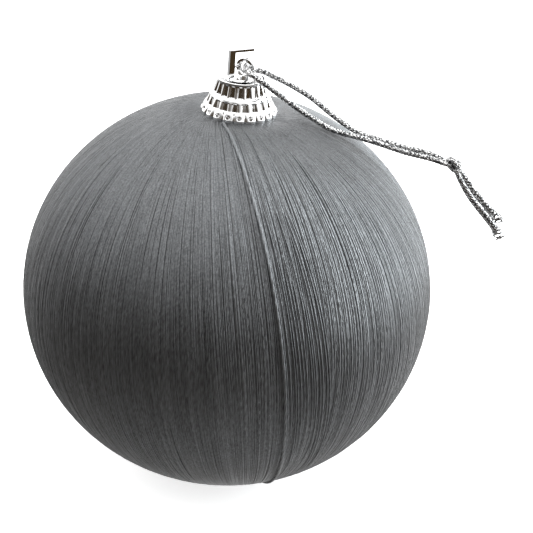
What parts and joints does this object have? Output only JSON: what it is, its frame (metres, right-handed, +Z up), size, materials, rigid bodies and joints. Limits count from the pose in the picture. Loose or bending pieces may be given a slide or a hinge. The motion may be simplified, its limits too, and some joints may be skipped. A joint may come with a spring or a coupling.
{
  "type": "thread-wound ball ornament",
  "caption": "Hanging ball ornament: foam ball wound with grey satin thread, fluted silver bell cap, eyelet pin and a knotted loop of silver braided cord.",
  "frame": {"origin": "lowest point of the ball, on its axis", "axes": "+Z up the ball's axis through the cap, +X towards the side that the cord lies over, -Y towards the viewer"},
  "size_m": [0.0928, 0.08, 0.088],
  "materials": {
    "foam": "fine-beaded expanded foam",
    "thread": "satin thread wound pole to pole",
    "plating": "bright vacuum plating on moulded plastic",
    "glue": "clear glossy glue",
    "cord": "silver tinsel braid"
  },
  "bodies": {
    "ball": {"foam_core": "foam", "thread_wrap": "thread", "closing_strand": "thread", "bell_cap": "plating", "eye_pin": "plating", "runner_stub": "plating", "glue_collar": "glue"},
    "cord_loop": {"cord_front": "cord", "cord_back": "cord", "cord_knot": "cord", "tail_long": "cord", "tail_short": "cord"}
  },
  "joints": [
    {"name": "loop_swing", "type": "hinge", "parent": "ball", "child": "cord_loop", "pos_m": [0.0008, 0, 0.0842], "axis": [0, -1, 0], "range_deg": [0, 112]}
  ]
}
